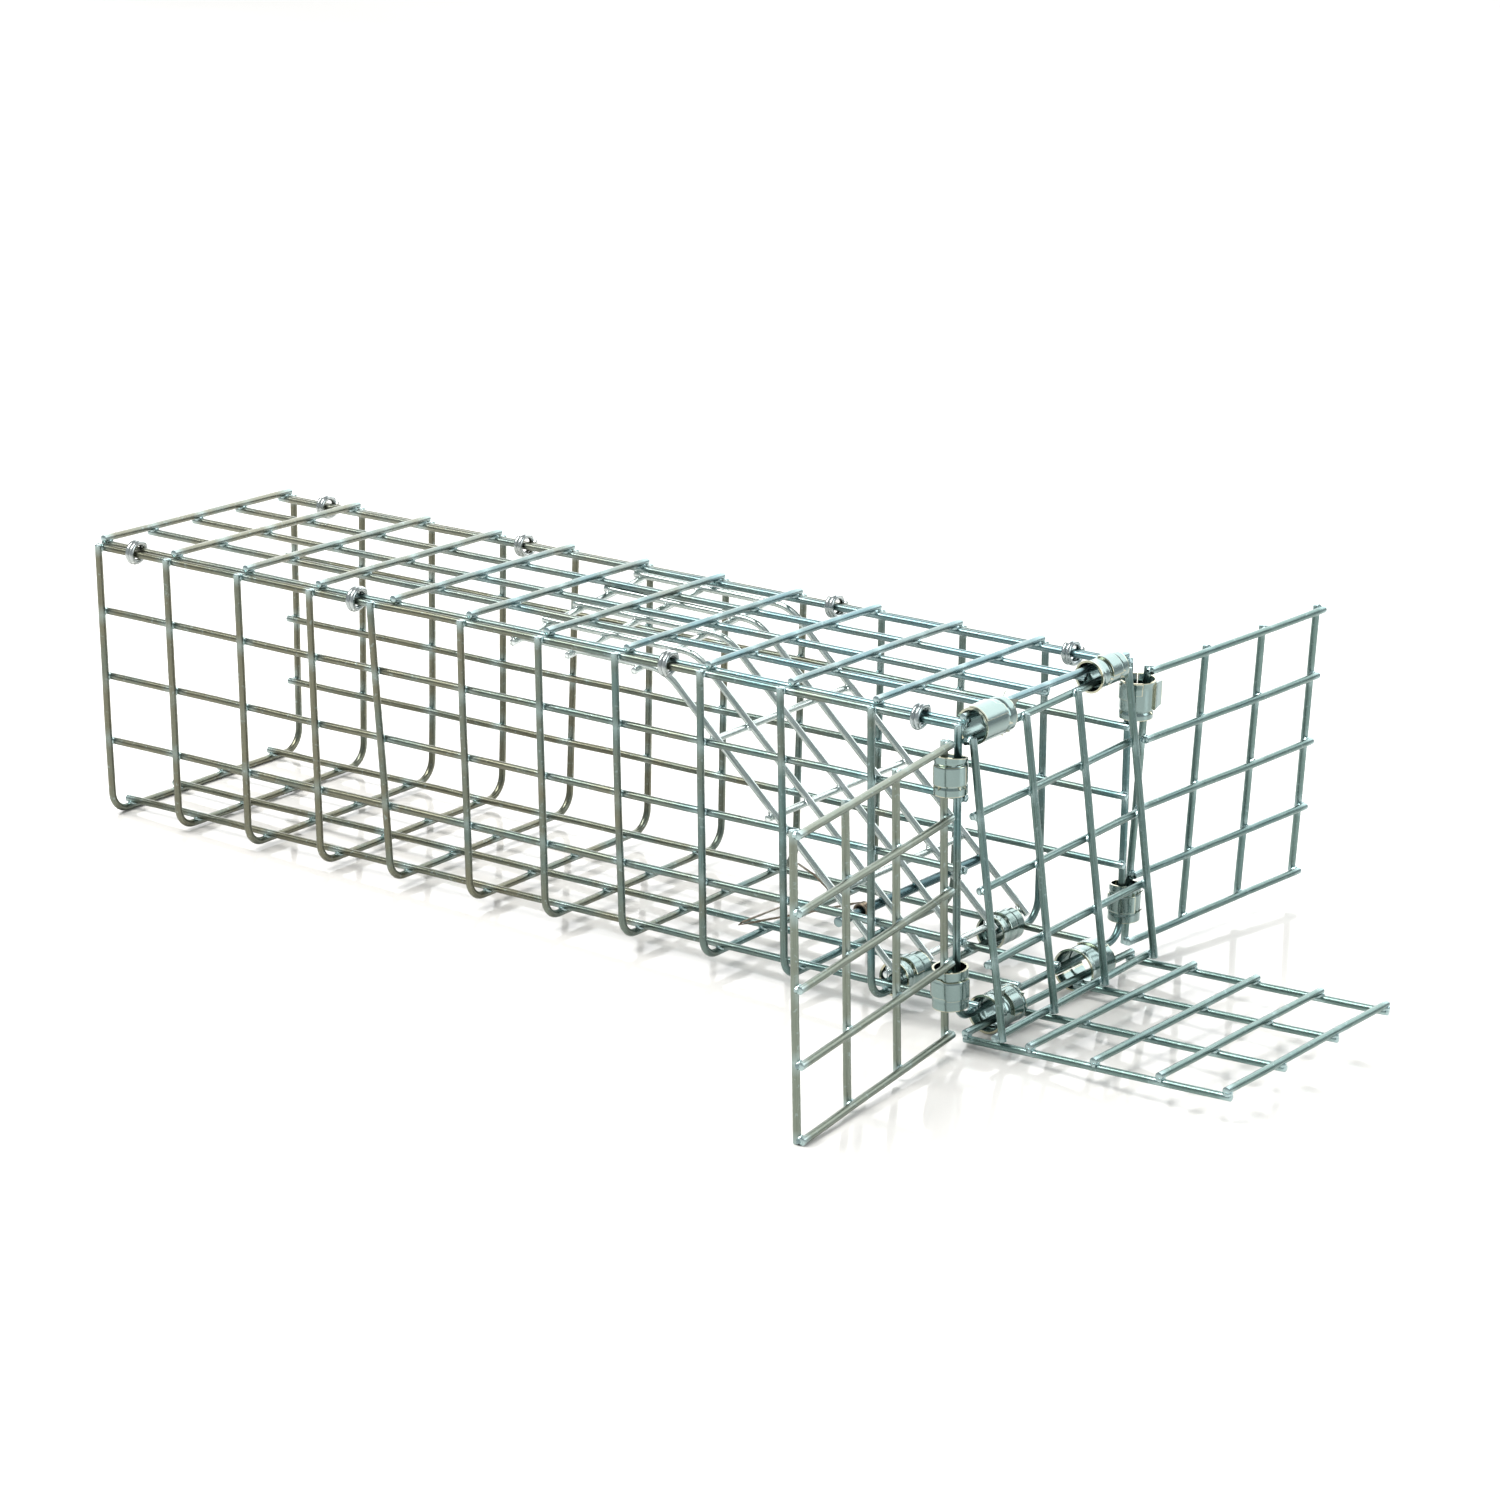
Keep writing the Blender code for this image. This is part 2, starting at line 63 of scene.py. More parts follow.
# heights at the near and the far side
LID_Z = (-0.3, -1.3)
SIDE_TOP = (-0.8, -1.7)
U_TOP = (0.2, -0.7)
FLOOR_Z = -4 * PITCH_SHORT
NEAR_LEAN = 4.6                       # how far the near side leans in at the floor
FAR_LEAN = -2.4                       # the far side leans out: the section is askew
CORNER_R = 6.0
BEND_STEPS = 8                        # in the corner of a U wire
FLOOR_WIRES = (8.6, 28.6, 48.4, 70.8)
STUB = 1.7
MOUTH_STUB = 0.6                      # lid and top side wires past the mouth
LID_STUBS = (2.0, 2.6)
# how far each U wire, from the rear, was welded off its place along X
NEAR_TOP_SET = (0, -1.0, -1.2, -1.5, -6.0, -1.3, -1.2, -2.2, -1.0, -1.8, 0, 0)
FLOOR_SET = (0.0, -1.0, -1.2, -1.1, -2.4, -0.9, -1.0, -1.4, -1.0, -1.2, 0, 0)

FLAP_STUB = 1.0                       # wires past the last wire they cross
HINGE_STUB = 0.8                      # wires past the hinge wire
# each flap: a point on its hinge wire, the hinge wire's run, and the way outwards
NEAR_FLAP = ((278.2, -8.4, -4.0), (0.018, 0.045, -1.0), (0.085, -1.0, -0.042))
FAR_FLAP = ((282.5, 84.6, -4.2), (-0.06, 0.042, -1.0), (0.128, 1.0, 0.04))
TOP_FLAP = ((281.3, -2.6, -3.9), (0.0, 1.0, 0.02), (0.146, 0.03, -1.0))
FLOOR_FLAP = ((282.3, 1.2, -80.75), (0.045, 1.0, 0.018), (1.0, -0.045, 0.045))
FRONT, BELOW = (1.0, 0.0, 0.0), (0.0, 0.0, -1.0)
# outward wires and their spacing, then wires along the hinge and their spacing
SIDE_GRID = (5, PITCH_SHORT, 4, PITCH_LONG)
CROSS_GRID = (4, PITCH_LONG, 5, PITCH_SHORT)

RING_WIRE_R = 0.78
RING_A = 3.2                          # half width of a ring, across the two wires
RING_B = 2.7                          # half height of a ring
RING_TURNS = 1.75
RING_PITCH = 1.17
# places of the rings along X, in mesh cells from the rear U wire
NEAR_RINGS = (0.45, 3.5, 7.5, 10.5)
FAR_RINGS = (0.6, 3.4, 7.5, 10.4)

RAMP_R = 0.95                         # thicker than the model's, not measured
CAD_RAMP_R = 0.82
RAMP_WELD = 0.25
RAMP_SINK = 2 * CAD_RAMP_R - RAMP_WELD
RAMP_HINGE = (254.0, -73.3)
RAMP_Y = (9.6, 73.1)                  # outer lengthwise wires
RAMP_WIRES = 5
# X and Z of the bend and of the lip's end, at the near and the far wire
RAMP_BEND = ((182.0, -6.1), (178.0, -2.7))
RAMP_LIP = ((132.6, -5.2), (127.0, -2.1))
RAMP_STUB = 2.2
# cross wires of the slope, up from the hinge, and of the lip, back from the bend
SLOPE_CROSSES = tuple(PITCH_LONG * i for i in (1, 2, 3))
LIP_CROSSES = (8.5, 8.5 + 0.84 * PITCH_LONG, 8.5 + 1.6 * PITCH_LONG)
LAST_CROSS = 1.6                      # a cross wire stays this far from a line's end
ROD_R = 1.3
ROD_AT = 18.0                         # along the slope from the hinge wire
ROD_WELD = 0.3
ROD_SET = RAMP_R + ROD_R - ROD_WELD   # between the centres of a ramp wire and the rod
ROD_Y = (5.4, 75.0)
SPRING_Y = 17.0
SPRING_WIRE_R = 0.3
SPRING_COIL_R = 1.98
SPRING_TURNS = 4
SPRING_TIP = (200.5, 19.6, -74.35)

cage_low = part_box("cage_body")[0]
lid_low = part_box("lid_panel")[0]
FLAT = CAD_WIRE_R * cos(pi / 8)       # half the CAD wire's width across its facets
TRAP = Vector((cage_low.x + STUB * MM, lid_low.y + LID_STUBS[0] * MM,
               cage_low.z - (FLOOR_Z - SINK - FLAT) * MM))


def lerp(a, b, t):
    return a + (b - a) * t


def smooth(t):
    t = max(0.0, min(1.0, t))
    return t * t * (3 - 2 * t)


def in_frame(p):
    """A point given in the trap's frame, with the slight waviness of real mesh, in the
    row frame.

    The noise isn't seeded, so points move by a few tenths of a millimetre from run to run.
    """
    p = Vector(p)
    wave = noise.noise_vector(p / 46.0) * 0.22 + noise.noise_vector(p / 17.0) * 0.06
    return TRAP + (p + wave) * MM


# ---- mesh building ------------------------------------------------------------------
class Skin:
    """Collects closed pieces of metal into one mesh.

    Each point carries `grain`, a position along and round its own wire that is free of
    seams, and `bright`, which marks weld nuggets, sheared ends and bent edges.
    """

    def __init__(self):
        self.points, self.faces, self.grain = [], [], []
        self.bright, self.edge = [], []

    def add_rings(self, rings, grains, brights, edges=None):
        """Skins a row of rings, with flat caps at its two ends."""
        base, n = len(self.points), len(rings[0])
        for ring, grain, bright in zip(rings, grains, brights):
            self.points += ring
            self.grain += grain
            self.bright += bright if isinstance(bright, list) else [bright] * n
        self.edge += [e for row in edges for e in row] if edges else [0.0] * n * len(rings)
        for i in range(len(rings) - 1):
            a, b = base + i * n, base + (i + 1) * n
            for k in range(n):
                j = (k + 1) % n
                self.faces.append((a + k, a + j, b + j, b + k))
        self.faces.append(tuple(base + k for k in reversed(range(n))))
        last = base + (len(rings) - 1) * n
        self.faces.append(tuple(last + k for k in range(n)))

    def tube(self, path, radius, sides=14, seed=0.0, shear=0.12):
        """A drawn wire along a path, its ends sheared with a small burr."""
        path = [Vector(p) for p in path]
        rings, grains, brights = [], [], []
        run, normal = 0.0, None
        for i, p in enumerate(path):
            before = (p - path[i - 1]).normalized() if i else (path[1] - p).normalized()
            after = (path[i + 1] - p).normalized() if i + 1 < len(path) else before
            run += (p - path[i - 1]).length if i else 0.0
            tangent = (before + after).normalized()
            if normal is None:
                up = Vector((0, 0, 1)) if abs(tangent.z) < 0.8 else Vector((0, 1, 0))
                normal = up
            normal = (normal - tangent * normal.dot(tangent)).normalized()
            cross = tangent.cross(normal)
            ends = []
            if i == 0:
                ends = [(0.0, 1 - shear * 1.6, 1.0), (shear, 1.0, 0.8)]
            elif i == len(path) - 1:
                ends = [(-shear, 1.0, 0.8), (0.0, 1 - shear * 1.6, 1.0)]
            else:
                ends = [(0.0, 1.0, 0.0)]
            for step, size, bright in ends:
                ring, grain = [], []
                for k in range(sides):
                    a = tau * (k + 0.5) / sides
                    out = normal * cos(a) + cross * sin(a)
                    ring.append(p + tangent * step + out * radius * size)
                    grain.append((cos(a), sin(a), (run + step) * 0.03 + seed))
                rings.append(ring)
                grains.append(grain)
                brights.append(bright)
        self.add_rings(rings, grains, brights)

    def wire(self, start, end, radius, step=4.0, **kw):
        """A straight wire, cut into short lengths so that it can follow the waviness."""
        start, end = Vector(start), Vector(end)
        count = max(2, int((end - start).length / step))
        self.tube([lerp(start, end, i / count) for i in range(count + 1)], radius, **kw)

    def nugget(self, centre, u, v, size, thick):
        """The squeezed metal of a resistance weld, a low round pad between two wires."""
        centre, u, v = Vector(centre), Vector(u).normalized(), Vector(v).normalized()
        n = u.cross(v).normalized()
        v = n.cross(u)
        rows, count = 5, 10
        rings, grains = [], []
        for i in range(rows):
            a = pi * (i + 0.5) / rows - pi / 2
            ring, grain = [], []
            for k in range(count):
                b = tau * k / count
                r = cos(a) ** 0.6 * size * (1 + 0.12 * sin(3 * b + centre.x))
                p = centre + (u * cos(b) + v * sin(b)) * r + n * sin(a) * thick
                ring.append(p)
                grain.append((cos(b), sin(b), p.x * 0.1))
            rings.append(ring)
            grains.append(grain)
        self.add_rings(rings, grains, [1.0] * rows)

    def glow(self, centres, reach=2.4):
        """Raises `bright` near the weld centres."""
        tree = kdtree.KDTree(len(centres))
        for i, c in enumerate(centres):
            tree.insert(c, i)
        tree.balance()
        for i, p in enumerate(self.points):
            d = tree.find(p)[2]
            self.bright[i] = max(self.bright[i], 0.75 * smooth(1 - (d - 0.9) / reach))

    def to_object(self, name, mat, sharp=40.0):
        mesh = bpy.data.meshes.new(name)
        mesh.from_pydata([in_frame(p) for p in self.points], [], self.faces)
        grain = mesh.attributes.new("grain", "FLOAT_VECTOR", "POINT")
        grain.data.foreach_set("vector", [x for g in self.grain for x in g])
        bright = mesh.attributes.new("bright", "FLOAT", "POINT")
        bright.data.foreach_set("value", self.bright)
        edge = mesh.attributes.new("edge", "FLOAT", "POINT")
        edge.data.foreach_set("value", self.edge)
        mesh.materials.append(mat)
        mesh.shade_smooth()
        mesh.set_sharp_from_angle(angle=radians(sharp))
        mesh.update()
        ob = bpy.data.objects.new(name, mesh)
        bpy.context.scene.collection.objects.link(ob)
        return ob


def place(ob, body, slot, *nodes):
    """The piece stands for these nodes of the model and moves with their body."""
    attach(ob, body)
    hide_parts(*nodes)
    return ob


# ---- materials ----------------------------------------------------------------------
class Nodes:
    """A small helper to wire up a material's nodes."""

    def __init__(self, name):
        self.mat = bpy.data.materials.new(name)
        self.mat.use_nodes = True
        self.tree = self.mat.node_tree
        self.shader = self.tree.nodes["Principled BSDF"]

    def node(self, kind, **values):
        made = self.tree.nodes.new("ShaderNode" + kind)
        for key, value in values.items():
            setattr(made, key, value)
        return made

    def link(self, out, socket):
        self.tree.links.new(out, socket)

    def attribute(self, name, output="Vector"):
        return self.node("Attribute", attribute_name=name).outputs[output]

    def noise(self, vector, scale, detail=3.0, rough=0.55):
        made = self.node("TexNoise")
        made.inputs["Scale"].default_value = scale
        made.inputs["Detail"].default_value = detail
        made.inputs["Roughness"].default_value = rough
        self.link(vector, made.inputs["Vector"])
        return made.outputs["Fac"]

    def ramp(self, value, low, high, out_low=0.0, out_high=1.0):
        made = self.node("MapRange", clamp=True)
        for socket, number in zip(("From Min", "From Max", "To Min", "To Max"),
                                  (low, high, out_low, out_high)):
            made.inputs[socket].default_value = number
        self.link(value, made.inputs["Value"])
        return made.outputs["Result"]

    def mix(self, factor, a, b, blend="MIX"):
        made = self.node("Mix", data_type="RGBA", blend_type=blend)
        for socket, value in ((made.inputs[0], factor), (made.inputs[6], a), (made.inputs[7], b)):
            if isinstance(value, (int, float)):
                socket.default_value = value
            elif isinstance(value, tuple):
                socket.default_value = (*value, 1.0)
            else:
                self.link(value, socket)
        return made.outputs[2]

    def math(self, operation, a, b):
        made = self.node("Math", operation=operation)
        for socket, value in zip(made.inputs, (a, b)):
            if isinstance(value, (int, float)):
                socket.default_value = value
            else:
                self.link(value, socket)
        return made.outputs[0]


def zinc(name, rear, mouth, bright, rough, turn=0.02, blotch=0.35, streak=0.3, bump=0.08,
         speck=0.3, edge=None):
    """Bright zinc plate on drawn steel.

    The tint drifts from `rear` to `mouth` along X about x = turn, in slow blotches, partly
    the zinc's own tone and partly painted reflection of the surroundings; fine lines run
    along the wire; welds, cut ends and edges take the `bright` tint.
    """
    n = Nodes(name)
    place_xyz = n.node("TexCoord").outputs["Object"]
    grain = n.attribute("grain")
    lines = n.noise(grain, 5.0, 5.0, 0.62)
    fine = n.noise(grain, 26.0, 3.0)
    clouds = n.noise(place_xyz, 55.0, 3.0)
    specks = n.noise(place_xyz, 900.0, 2.0)
    along = n.node("SeparateXYZ")
    n.link(place_xyz, along.inputs[0])
    # partly painted reflection: the drift from the rear tint to the mouth tint stands for the
    # surroundings mirrored in the zinc as well as for its own tone
    tone_and_reflection = n.ramp(along.outputs["X"], turn - 0.11, turn + 0.11)
    tone_and_reflection = n.math("ADD", tone_and_reflection, n.ramp(clouds, 0.32, 0.68, -blotch, blotch))
    tint = n.mix(n.ramp(tone_and_reflection, 0.0, 1.0), rear, mouth)
    shade = n.ramp(lines, 0.3, 0.7, 1.0 - streak, 1.0 + 0.25 * streak)
    tint = n.mix(1.0, tint, n.mix(shade, (0, 0, 0), (1, 1, 1)), "MULTIPLY")
    tint = n.mix(n.ramp(specks, 0.62, 0.72, 0.0, speck), tint, bright)
    glow = n.attribute("bright", "Fac")
    tint = n.mix(n.ramp(glow, 0.1, 1.0, 0.0, 0.8), tint, bright)
    if edge:
        cut = n.ramp(n.attribute("edge", "Fac"), 0.35, 0.9)
        patchy = n.math("MULTIPLY", cut, n.ramp(clouds, 0.3, 0.55, 0.35, 1.0))
        tint = n.mix(patchy, tint, edge)
    n.link(tint, n.shader.inputs["Base Color"])
    gloss = n.ramp(lines, 0.3, 0.7, rough - 0.05, rough + 0.09)
    gloss = n.math("SUBTRACT", gloss, n.ramp(glow, 0.2, 1.0, 0.0, 0.1))
    n.link(gloss, n.shader.inputs["Roughness"])
    n.shader.inputs["Metallic"].default_value = 1.0
    height = n.math("ADD", n.math("MULTIPLY", fine, 0.6), n.math("MULTIPLY", specks, 0.4))
    relief = n.node("Bump")
    relief.inputs["Strength"].default_value = bump
    relief.inputs["Distance"].default_value = 0.0002
    n.link(height, relief.inputs["Height"])
    n.link(relief.outputs["Normal"], n.shader.inputs["Normal"])
    return n.mat


# KHAKI at the rear and TEAL at the mouth: partly the zinc's own tone, partly painted reflection
# of the surroundings
KHAKI = (0.205, 0.205, 0.15)
TEAL = (0.135, 0.235, 0.24)
PALE = (0.46, 0.60, 0.61)
cage_zinc = zinc("cage_zinc", KHAKI, TEAL, PALE, 0.27)
lid_zinc = zinc("lid_zinc", (0.26, 0.265, 0.21), (0.18, 0.29, 0.31), PALE, 0.26, turn=-0.06)
near_zinc = zinc("near_flap_zinc", (0.25, 0.265, 0.21), (0.25, 0.29, 0.24), PALE, 0.33)
front_zinc = zinc("front_flap_zinc", TEAL, (0.19, 0.28, 0.26), PALE, 0.27)
# the ramp's zinc is tinted much lighter than the cage's: painted highlight for the shine of its
# wires, over the zinc's own tone
ramp_zinc_painted_highlight = zinc("ramp_zinc_painted_highlight", (0.58, 0.66, 0.63), (0.60, 0.68, 0.66), (0.8, 0.86, 0.86), 0.2)
rod_zinc = zinc("rod_zinc", (0.08, 0.15, 0.165), (0.08, 0.15, 0.165), (0.3, 0.4, 0.4), 0.24)
ring_zinc = zinc("ring_zinc", (0.52, 0.56, 0.55), (0.47, 0.54, 0.55), (0.85, 0.88, 0.86), 0.17)
spring_steel = zinc("spring_steel", (0.22, 0.18, 0.13), (0.25, 0.21, 0.16), (0.6, 0.56, 0.5), 0.3)
clip_zinc = zinc("clip_zinc", (0.29, 0.37, 0.34), (0.26, 0.35, 0.34), (0.66, 0.74, 0.72), 0.16,
                 blotch=0.2, streak=0.1, bump=0.02, speck=0.05, edge=(0.55, 0.53, 0.38))


# ---- welded panels --------------------------------------------------------------------
def welded(name, wires, crossings, radius, mat, seed, nugget=1.3):
    """Wires, given as paths or as pairs of ends, with a nugget at each crossing."""
    skin = Skin()
    for i, path in enumerate(wires):
        if len(path) == 2:
            skin.wire(*path, radius, seed=seed + i * 3.7)
        else:
            skin.tube(path, radius, seed=seed + i * 3.7)
    skin.glow([c[0] for c in crossings])
    for centre, u, v in crossings:
        skin.nugget(centre, u, v, nugget * radius, radius * 0.8)
    return skin.to_object(name, mat)


def near_y(z):
    return -SIDE_GAP + NEAR_LEAN * z / FLOOR_Z


def far_y(z):
    return LID_WIDTH + SIDE_GAP - FAR_LEAN * z / FLOOR_Z


def run_points(start, end, step=4.0):
    count = max(2, int((Vector(end) - Vector(start)).length / step))
    return [lerp(Vector(start), Vector(end), i / count) for i in range(count)]


def u_wire(i):
    """U wire i: down the near side, across under the floor and up the far side."""
    x = i * PITCH_LONG
    bottom = FLOOR_Z - SINK
    near_top = Vector((x + NEAR_TOP_SET[i], near_y(SIDE_TOP[0]) - SINK, U_TOP[0]))
    far_top = Vector((x, far_y(SIDE_TOP[1]) + SINK, U_TOP[1]))
    ny, fy = near_y(FLOOR_Z) - SINK, far_y(FLOOR_Z) + SINK
    x += FLOOR_SET[i]
    near_bend, far_bend = [], []
    for step in range(BEND_STEPS + 1):
        a = pi / 2 * step / BEND_STEPS
        out, drop = CORNER_R * (1 - cos(a)), CORNER_R * (1 - sin(a))
        near_bend.append(Vector((x, ny + out, bottom + drop)))
        far_bend.append(Vector((x, fy - out, bottom + drop)))
    far_bend.reverse()
    path = run_points(near_top, near_bend[0]) + near_bend[:-1]
    path += run_points(near_bend[-1], far_bend[0]) + far_bend[:-1]
    path += run_points(far_bend[-1], far_top) + [far_top]
    return path


def u_shift(i, side, z):
    """X of U wire i at height z on a side."""
    t = (z - FLOOR_Z) / (SIDE_TOP[0] - FLOOR_Z)
    top = NEAR_TOP_SET[i] if side == "near" else 0
    return i * PITCH_LONG + lerp(FLOOR_SET[i], top, t)


def cage():
    wires = [u_wire(i) for i in range(CELLS_LONG + 1)]
    crossings = []
    for side, side_y, top, sign in (("near", near_y, SIDE_TOP[0], -1),
                                    ("far", far_y, SIDE_TOP[1], 1)):
        for z in (top, -PITCH_SHORT, -2 * PITCH_SHORT, -3 * PITCH_SHORT):
            y = side_y(z)
            stub = MOUTH_STUB if z == top else STUB
            wires.append(((-STUB, y, z), (LENGTH + stub, y, z)))
            for i in range(CELLS_LONG + 1):
                at = Vector((u_shift(i, side, z), y + sign * SINK / 2, z))
                crossings.append((at, (1, 0, 0), (0, 0, 1)))
    for y in FLOOR_WIRES:
        wires.append(((-STUB, y, FLOOR_Z), (LENGTH + STUB, y, FLOOR_Z)))
        for i in range(CELLS_LONG + 1):
            at = Vector((i * PITCH_LONG + FLOOR_SET[i], y, FLOOR_Z - SINK / 2))
            crossings.append((at, (1, 0, 0), (0, 1, 0)))
    ob = welded("cage_wires", wires, crossings, WIRE_R, cage_zinc, 0.0)
    place(ob, "cage", "cage_wire", "cage_body")


def lid_z(y):
    """Centre of the lid's lengthwise wires at width y; the lid hangs lower at its far edge."""
    return lerp(*LID_Z, y / LID_WIDTH)


def lid():
    wires, crossings = [], []
    for k in range(5):
        y = k * PITCH_SHORT
        wires.append(((-STUB, y, lid_z(y)), (LENGTH + MOUTH_STUB, y, lid_z(y))))
    near, far = -LID_STUBS[0], LID_WIDTH + LID_STUBS[1]
    for i in range(CELLS_LONG + 1):
        x = i * PITCH_LONG
        wires.append(((x, near, lid_z(near) + SINK), (x, far, lid_z(far) + SINK)))
        for k in range(5):
            y = k * PITCH_SHORT
            crossings.append((Vector((x, y, lid_z(y) + SINK / 2)), (1, 0, 0), (0, 1, 0)))
    ob = welded("lid_wires", wires, crossings, WIRE_R, lid_zinc, 40.0)
    place(ob, "cage", "cage_wire", "lid_panel")


def flap(name, spec, face, grid, mat, body, seed):
    """Mesh flap: wires that run outwards lie on the `face` side of the others."""
    pivot, along, out = [Vector(a) for a in spec]
    along.normalize()
    out = (out - along * out.dot(along)).normalized()
    across = along.cross(out)
    if across.dot(Vector(face)) < 0:
        across = -across
    out_count, out_step, hinge_count, hinge_step = grid
    width, reach = (out_count - 1) * out_step, (hinge_count - 1) * hinge_step
    wires, crossings = [], []
    for k in range(hinge_count):
        o = pivot + out * (k * hinge_step)
        wires.append((o - along * FLAP_STUB, o + along * (width + FLAP_STUB)))
        for j in range(out_count):
            at = o + along * (j * out_step) + across * SINK / 2
            crossings.append((at, along, out))
    for k in range(out_count):
        o = pivot + along * (k * out_step) + across * SINK
        wires.append((o - out * HINGE_STUB, o + out * (reach + FLAP_STUB)))
    ob = welded(f"{name}_wires", wires, crossings, WIRE_R, mat, seed)
    place(ob, body, "flap_wire", name)


# ---- rings ----------------------------------------------------------------------------
def ring(name, x, y, z, tilt, seed):
    """A wire ring squeezed shut round two wires, its ends lapped."""
    turn = Matrix.Rotation(tilt, 3, "X")
    pts = []
    steps = 40
    for i in range(steps + 1):
        t = i / steps
        a = radians(-55) + RING_TURNS * tau * t
        p = Vector((RING_PITCH * (t - 0.5) * RING_TURNS, RING_A * cos(a), RING_B * sin(a)))
        pts.append(Vector((x, y, z)) + turn @ p)
    skin = Skin()
    skin.tube(pts, RING_WIRE_R, seed=seed, shear=0.2)
    place(skin.to_object(f"{name}_wire", ring_zinc), "cage", "ring_wire", name)


def rings():
    for side, cells, y, lid_edge, side_top in (
            ("near", NEAR_RINGS, -SIDE_GAP / 2, LID_Z[0], SIDE_TOP[0]),
            ("far", FAR_RINGS, LID_WIDTH + SIDE_GAP / 2, LID_Z[1], SIDE_TOP[1])):
        tilt = (lid_edge - side_top) / SIDE_GAP
        if side == "far":
            tilt = pi - tilt
        for k, cell in enumerate(cells):
            ring(f"{side}_ring_{k + 1}", cell * PITCH_LONG, y, (lid_edge + side_top) / 2,
                 tilt, k * 5.0)


# ---- sheet clips ----------------------------------------------------------------------
CLIP_T = 0.55
CLIP_WRAP = radians(358)
CLIP_PLAY = 0.38
FLOOR_PLAY = 1.0
SIDE_CLIP_LEN, TOP_CLIP_LEN, FLOOR_CLIP_LEN = 10.4, 14.0, 12.0


class Roll:
    """A sheet rolled round two wires, with its grooves, tab, teeth and tail.

    Angles are measured round the axis from the direction that faces `front`;
    lengths run from -1 at the axis' start to 1 at its end.
    """

    def __init__(self, a, b, along, length, start, play, front):
        self.a, self.b, self.along = Vector(a), Vector(b), Vector(along).normalized()
        gap = (self.b - self.a) - self.along * (self.b - self.a).dot(self.along)
        self.across = gap.normalized()
        self.third = self.along.cross(self.across)
        self.middle, self.half = (self.a + self.b) / 2, length / 2
        self.inner = gap.length / 2 + CAD_WIRE_R + play
        self.start = start
        front = Vector(front)
        self.front = atan2(front.dot(self.third), front.dot(self.across))
        self.skin = Skin()
        self.grooves, self.flare, self.oval = (), (0.0, 0.0), 0.03

    def at(self, angle, radius, s):
        return (self.middle + (self.across * cos(angle) + self.third * sin(angle)) * radius
                + self.along * s * self.half)

    def radius(self, angle, s):
        """Inner radius: pressed grooves, an opened-out end and a slight oval."""
        r = self.inner * (1 + self.oval * cos(2 * angle))
        for centre, depth in self.grooves:
            r -= depth * max(0.0, 1 - abs(s - centre) * self.half / 0.55) ** 1.5
        near, far = self.flare
        r += near * smooth((-s - 0.62) / 0.38) + far * smooth((s - 0.62) / 0.38)
        return r

    def sheet(self, begin, end, low, high, lift=0.0, thick=CLIP_T, steps=40, rows=26):
        """A piece of the roll between two angles; low and high may vary with the angle."""
        rings, grains, brights, edges = [], [], [], []
        for i in range(steps + 1):
            a = lerp(begin, end, i / steps)
            s0 = low(a) if callable(low) else low
            s1 = high(a) if callable(high) else high
            outer, inner = [], []
            for j in range(rows + 1):
                s = lerp(s0, s1, j / rows)
                r = self.radius(a, s) + lift
                outer.append(self.at(a, r + thick, s))
                inner.append(self.at(a, r, s))
            ring = outer + inner[::-1]
            rim = [1.0 if j in (0, rows) else 0.0 for j in range(rows + 1)]
            if i in (0, steps):
                rim = [1.0] * (rows + 1)
            rings.append(ring)
            grains.append([(a * 2.2, p.z * 0.5, p.y * 0.5) for p in ring])
            brights.append([0.5 * e for e in rim + rim[::-1]])
            edges.append(rim + rim[::-1])
        self.skin.add_rings(rings, grains, brights, edges)

    def tooth(self, angle, s, width, height, out, ways=1):
        """A pointed barb that stands up from the sheet's edge at s."""
        r = self.radius(angle, s) + CLIP_T * 0.5
        da, ds = width / 2 / r, height / self.half * ways
        base = []
        for side in (-1, 1):
            for rr in (-0.5, 0.5):
                base.append(self.at(angle + side * da, r + rr * CLIP_T, s - 0.1 * ways))
        tip = self.at(angle, r + out, s + ds)
        tip2 = self.at(angle, r + out + 0.2, s + ds * 0.8)
        n = len(self.skin.points)
        self.skin.points += base + [tip, tip2]
        self.skin.faces += [(n, n + 1, n + 3, n + 2), (n, n + 2, n + 4), (n + 1, n + 5, n + 3),
                            (n, n + 4, n + 5, n + 1), (n + 2, n + 3, n + 5, n + 4)]
        self.skin.grain += [(p.x, p.y, p.z) for p in self.skin.points[n:]]
        self.skin.bright += [0.4] * 4 + [1.0, 1.0]
        self.skin.edge += [0.5] * 4 + [1.0, 1.0]

    def tail(self, angle, ways, length, low, high):
        """The sheet's free end, running off flat from the roll."""
        steps, rings, grains = 8, [], []
        r = self.radius(angle, 0.0) + CLIP_T + 0.04
        for i in range(steps + 1):
            run = length * i / steps
            ring = []
            for s, lift in ((low, 0.0), (high, 0.0), (high, CLIP_T), (low, CLIP_T)):
                s = s * (1 - 0.12 * i / steps)
                p = self.at(angle, r + lift + 0.02 * run * run, s)
                tangent = (self.third * cos(angle) - self.across * sin(angle)) * ways
                ring.append(p + tangent * run)
            rings.append(ring)
            grains.append([(p.x, p.y, p.z) for p in ring])
        ends = [[0.9] * 4 if i in (0, steps) else [0.25] * 4 for i in range(steps + 1)]
        self.skin.add_rings(rings, grains, [[0.1] * 4] * (steps + 1), ends)


def step_edge(base, jump, at, width=0.12):
    """An edge that runs round the roll and steps along it at one angle."""
    return lambda a: base + jump * smooth((a - at) / width + 0.5)


def slanted(turn, depth):
    """A slanted end of the roll, cut back most on the side away from the angle `turn`."""
    return lambda a: -1.0 + depth * (1 - cos(a - turn))


